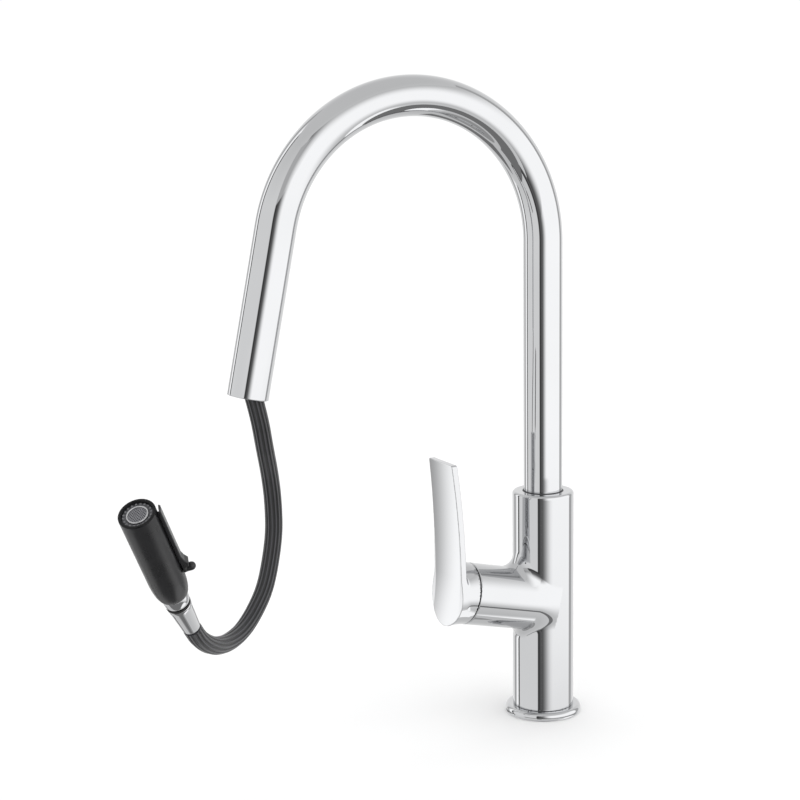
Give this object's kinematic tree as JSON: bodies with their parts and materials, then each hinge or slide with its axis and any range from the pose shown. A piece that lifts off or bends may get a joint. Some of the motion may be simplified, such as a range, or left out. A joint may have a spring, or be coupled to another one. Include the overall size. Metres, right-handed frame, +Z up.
{
  "type": "pull-down kitchen faucet",
  "caption": "Tall chrome gooseneck kitchen faucet with a broad side paddle handle and a slim black spray head drawn out on its braided hose.",
  "frame": {"origin": "centre of the base on the worktop", "axes": "+Z up, spout and handle towards -Y, drawn-out head on the +X side"},
  "size_m": [0.1388, 0.3816, 0.4669],
  "materials": {
    "chrome_shell": "polished",
    "brass_fitting": "satin",
    "steel_small": "brushed",
    "black_plastic": "matte",
    "white_plastic": "matte",
    "grey_plastic": "matte",
    "seal_rubber": "matte",
    "valve_ceramic": "smooth",
    "hose_braid": "woven"
  },
  "bodies": {
    "body": {"base_gasket": "seal_rubber", "base_flange": "chrome_shell", "body_housing": "chrome_shell", "inlet_connector_hot": "brass_fitting", "inlet_connector_cold": "brass_fitting", "hose_outlet_connector": "brass_fitting", "spout_slide_ring": "black_plastic", "spout_retaining_screw": "steel_small", "cartridge_base_seal": "seal_rubber", "cartridge_base": "white_plastic", "ceramic_disc_fixed": "valve_ceramic", "cartridge_housing": "white_plastic", "cartridge_nut": "brass_fitting", "cartridge_dome": "black_plastic"},
    "temperature_carrier": {"ceramic_disc_moving": "valve_ceramic", "cartridge_carrier": "white_plastic", "stem_pivot_pin": "steel_small"},
    "handle": {"cartridge_stem": "brass_fitting", "lever_handle": "chrome_shell", "handle_set_screw": "steel_small", "handle_screw_plug": "grey_plastic"},
    "spout": {"spout_nipple": "brass_fitting", "spout_o_ring_lower": "seal_rubber", "spout_o_ring_upper": "seal_rubber", "spout_tube": "chrome_shell", "spout_tail": "chrome_shell", "docking_collar": "black_plastic", "hose_inner_run": "hose_braid"},
    "hose": {"hose_free_run": "hose_braid", "hose_nut": "chrome_shell", "hose_nut_ring": "seal_rubber"},
    "spray_head": {"neck_collar": "chrome_shell", "head_shell": "black_plastic", "waterway_core": "grey_plastic", "check_valve": "white_plastic", "toggle_pin_carrier": "grey_plastic", "toggle_pin": "steel_small", "nozzle_plate": "black_plastic", "aerator_ring": "steel_small", "aerator_insert": "grey_plastic"},
    "toggle": {"toggle_lever": "black_plastic"}
  },
  "joints": [
    {"name": "handle_turn", "type": "hinge", "parent": "body", "child": "temperature_carrier", "pos_m": [0, -0.05961, 0.09787], "axis": [0, -0.974, 0.2267], "range_deg": [-45, 45]},
    {"name": "handle_lift", "type": "hinge", "parent": "temperature_carrier", "child": "handle", "pos_m": [0, -0.05961, 0.09787], "axis": [1, 0, 0], "range_deg": [0, 22]},
    {"name": "spout_swivel", "type": "hinge", "parent": "body", "child": "spout", "pos_m": [0, 0, 0.139], "axis": [0, 0, 1], "range_deg": [-60, 60]},
    {"name": "hose_pull", "type": "slide", "parent": "spout", "child": "hose", "axis": [0.1587, 0.2154, -0.9635], "range_m": [0, 0.012]},
    {"name": "head_swivel", "type": "hinge", "parent": "hose", "child": "spray_head", "pos_m": [0.06694, -0.30826, 0.14746], "axis": [0.402, -0.422, 0.8126], "range_deg": [-170, 170]},
    {"name": "toggle_tilt", "type": "hinge", "parent": "spray_head", "child": "toggle", "pos_m": [0.10037, -0.33398, 0.21098], "axis": [0.8211, -0.2264, -0.5239], "range_deg": [0, 8]}
  ]
}
